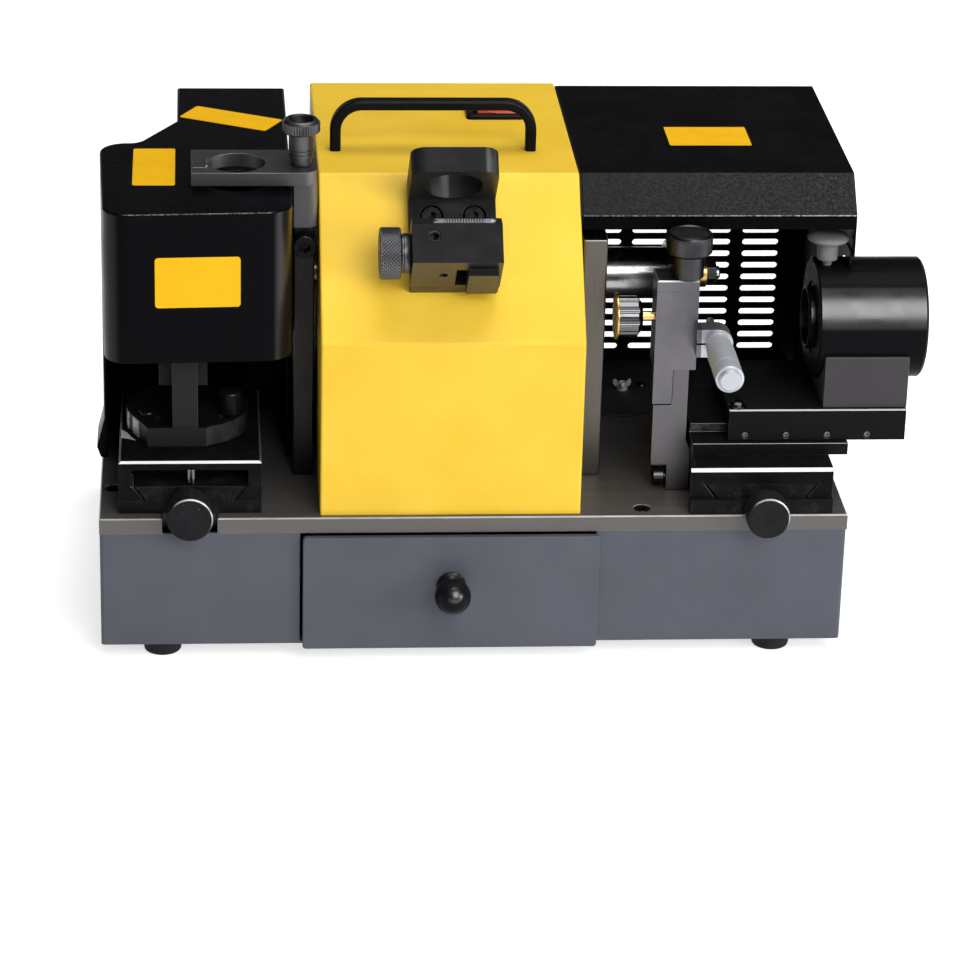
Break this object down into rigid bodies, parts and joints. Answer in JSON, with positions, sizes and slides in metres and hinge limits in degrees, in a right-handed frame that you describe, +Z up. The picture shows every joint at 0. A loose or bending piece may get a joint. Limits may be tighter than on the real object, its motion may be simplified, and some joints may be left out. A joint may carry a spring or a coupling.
{
  "type": "bench tool grinding machine",
  "caption": "Bench grinder for drills and end mills: sloped motor housing between two guarded wheels, each with a sliding station, on a base with a drawer.",
  "frame": {"origin": "on the surface it stands on, under the middle of its overall box", "axes": "+X to the operator's right along the spindle, +Y to the back, +Z up"},
  "size_m": [0.501, 0.302, 0.3226],
  "materials": {
    "base_paint": "satin",
    "ground_steel": "ground",
    "bright_steel": "polished",
    "yellow_paint": "textured",
    "black_paint": "wrinkle",
    "black_oxide": "black oxide",
    "dark_knob": "black anodised, knurled",
    "chrome": "polished",
    "brass": "satin",
    "satin_aluminium": "satin",
    "abrasive": "abrasive coated",
    "motor_metal": "cast",
    "rotor_metal": "machined",
    "rubber": "matte",
    "black_plastic": "gloss",
    "grey_plastic": "matte",
    "red_plastic": "gloss"
  },
  "bodies": {
    "frame": {"base_pan": "base_paint", "bed_plate": "ground_steel", "rubber_feet": "rubber", "drawer_runners": "bright_steel", "motor_housing": "yellow_paint", "left_bearing_plate": "ground_steel", "right_bearing_plate": "ground_steel", "spindle_bearings": "bright_steel", "motor_casing": "motor_metal", "right_hood": "black_paint", "vent_panel": "black_paint", "left_guard": "black_paint", "left_rear_panel": "black_paint", "carry_handle": "black_paint", "switch_bezel": "black_plastic", "power_inlet": "black_plastic", "setting_bracket": "black_oxide", "stop_block": "black_oxide", "frame_screws": "black_oxide", "left_slide_base": "black_oxide", "right_slide_base": "black_oxide", "arm_bracket": "ground_steel", "dust_tray": "black_paint"},
    "drawer": {"drawer_front": "base_paint", "drawer_tray": "base_paint", "drawer_knob": "black_plastic"},
    "spindle": {"spindle_shaft": "bright_steel", "motor_rotor": "rotor_metal", "wheel_arbors": "chrome", "right_wheel": "abrasive", "left_wheel": "abrasive", "wheel_washers": "brass", "wheel_nuts": "black_oxide"},
    "rocker": {"switch_rocker": "red_plastic"},
    "jaw": {"setting_jaw": "black_oxide"},
    "jaw_knob": {"setting_knob": "dark_knob"},
    "left_saddle": {"left_saddle": "black_oxide", "swivel_screws": "black_oxide"},
    "left_knob": {"left_feed_knob": "dark_knob"},
    "swivel": {"swivel_table": "black_oxide", "rest_post": "black_oxide", "tooth_rest": "black_oxide"},
    "arm": {"chuck_seat_arm": "ground_steel"},
    "arm_knob": {"arm_height_knob": "dark_knob"},
    "right_saddle": {"right_saddle": "black_oxide", "cross_guide": "black_oxide", "gauge_stand": "ground_steel"},
    "right_knob": {"right_feed_knob": "dark_knob"},
    "carriage": {"cross_carriage": "black_oxide", "sleeve_pedestal": "black_oxide", "tool_sleeve": "black_oxide"},
    "socket": {"chuck_socket": "black_oxide"},
    "sleeve_clamp": {"sleeve_clamp_knob": "grey_plastic"},
    "gauge_head": {"gauge_head": "ground_steel", "micrometer_barrel": "satin_aluminium"},
    "gauge_knob": {"gauge_height_knob": "dark_knob"},
    "gauge_lock": {"gauge_lock_knob": "chrome", "gauge_lock_ring": "brass"},
    "micrometer_spindle": {"micrometer_spindle": "bright_steel"},
    "micrometer_thimble": {"micrometer_thimble": "satin_aluminium"}
  },
  "joints": [
    {"name": "drawer_slide", "type": "slide", "parent": "frame", "child": "drawer", "axis": [0, -1, 0], "range_m": [0, 0.15]},
    {"name": "spindle_spin", "type": "hinge", "parent": "frame", "child": "spindle", "pos_m": [-0.0225, -0.004, 0.2102], "axis": [1, 0, 0], "continuous": true},
    {"name": "rocker_tilt", "type": "hinge", "parent": "frame", "child": "rocker", "pos_m": [-0.0025, 0.0822, 0.2793], "axis": [0, -1, 0], "range_deg": [0, 16]},
    {"name": "jaw_knob_turn", "type": "hinge", "parent": "frame", "child": "jaw_knob", "pos_m": [-0.0725, -0.09818, 0.25787], "axis": [-1, 0, 0], "range_deg": [0, 1081]},
    {"name": "jaw_slide", "type": "slide", "parent": "frame", "child": "jaw", "axis": [-1, 0, 0], "range_m": [0, 0.006]},
    {"name": "left_knob_turn", "type": "hinge", "parent": "frame", "child": "left_knob", "pos_m": [-0.1933, -0.114, 0.1011], "axis": [0, 1, 0], "range_deg": [-1441, 5401]},
    {"name": "left_saddle_slide", "type": "slide", "parent": "frame", "child": "left_saddle", "axis": [0, 1, 0], "range_m": [-0.004, 0.015]},
    {"name": "swivel_turn", "type": "hinge", "parent": "left_saddle", "child": "swivel", "pos_m": [-0.1945, -0.047, 0.1296], "axis": [0, 0, 1], "range_deg": [-10, 10]},
    {"name": "arm_slide", "type": "slide", "parent": "frame", "child": "arm", "axis": [0, 0, 1], "range_m": [0, 0.008]},
    {"name": "arm_knob_turn", "type": "hinge", "parent": "arm", "child": "arm_knob", "pos_m": [-0.1265, -0.044, 0.3056], "axis": [0, 0, 1], "range_deg": [0, 1921]},
    {"name": "right_knob_turn", "type": "hinge", "parent": "frame", "child": "right_knob", "pos_m": [0.1518, -0.114, 0.1004], "axis": [0, 1, 0], "range_deg": [-1801, 721]},
    {"name": "right_saddle_slide", "type": "slide", "parent": "frame", "child": "right_saddle", "axis": [0, 1, 0], "range_m": [-0.005, 0.002]},
    {"name": "carriage_slide", "type": "slide", "parent": "right_saddle", "child": "carriage", "axis": [1, 0, 0], "range_m": [-0.018, 0]},
    {"name": "socket_turn", "type": "hinge", "parent": "carriage", "child": "socket", "pos_m": [0.2175, -0.044, 0.1964], "axis": [1, 0, 0], "continuous": true},
    {"name": "sleeve_clamp_turn", "type": "hinge", "parent": "carriage", "child": "sleeve_clamp", "pos_m": [0.192, -0.044, 0.2406], "axis": [0, 0, 1], "range_deg": [0, 360]},
    {"name": "gauge_head_slide", "type": "slide", "parent": "right_saddle", "child": "gauge_head", "axis": [0, 0, 1], "range_m": [0, 0.012]},
    {"name": "gauge_knob_turn", "type": "hinge", "parent": "gauge_head", "child": "gauge_knob", "pos_m": [0.1043, -0.0706, 0.2406], "axis": [0, 0, 1], "range_deg": [0, 2881]},
    {"name": "gauge_lock_turn", "type": "hinge", "parent": "gauge_head", "child": "gauge_lock", "pos_m": [0.0725, -0.07, 0.2072], "axis": [1, 0, 0], "range_deg": [0, 360]},
    {"name": "micrometer_slide", "type": "slide", "parent": "gauge_head", "child": "micrometer_spindle", "axis": [0, 1, 0], "range_m": [0, 0.006]},
    {"name": "thimble_turn", "type": "hinge", "parent": "micrometer_spindle", "child": "micrometer_thimble", "pos_m": [0.1211, -0.134, 0.1976], "axis": [0, 1, 0], "range_deg": [0, 2161]}
  ],
  "couplings": [
    {"joint": "jaw_knob_turn", "follows": "jaw_slide", "rad_per_m": 3141.6},
    {"joint": "left_knob_turn", "follows": "left_saddle_slide", "rad_per_m": 6283.2},
    {"joint": "arm_knob_turn", "follows": "arm_slide", "rad_per_m": 4188.8},
    {"joint": "right_knob_turn", "follows": "right_saddle_slide", "rad_per_m": 6283.2},
    {"joint": "gauge_knob_turn", "follows": "gauge_head_slide", "rad_per_m": 4188.8},
    {"joint": "thimble_turn", "follows": "micrometer_slide", "rad_per_m": 6283.2}
  ]
}
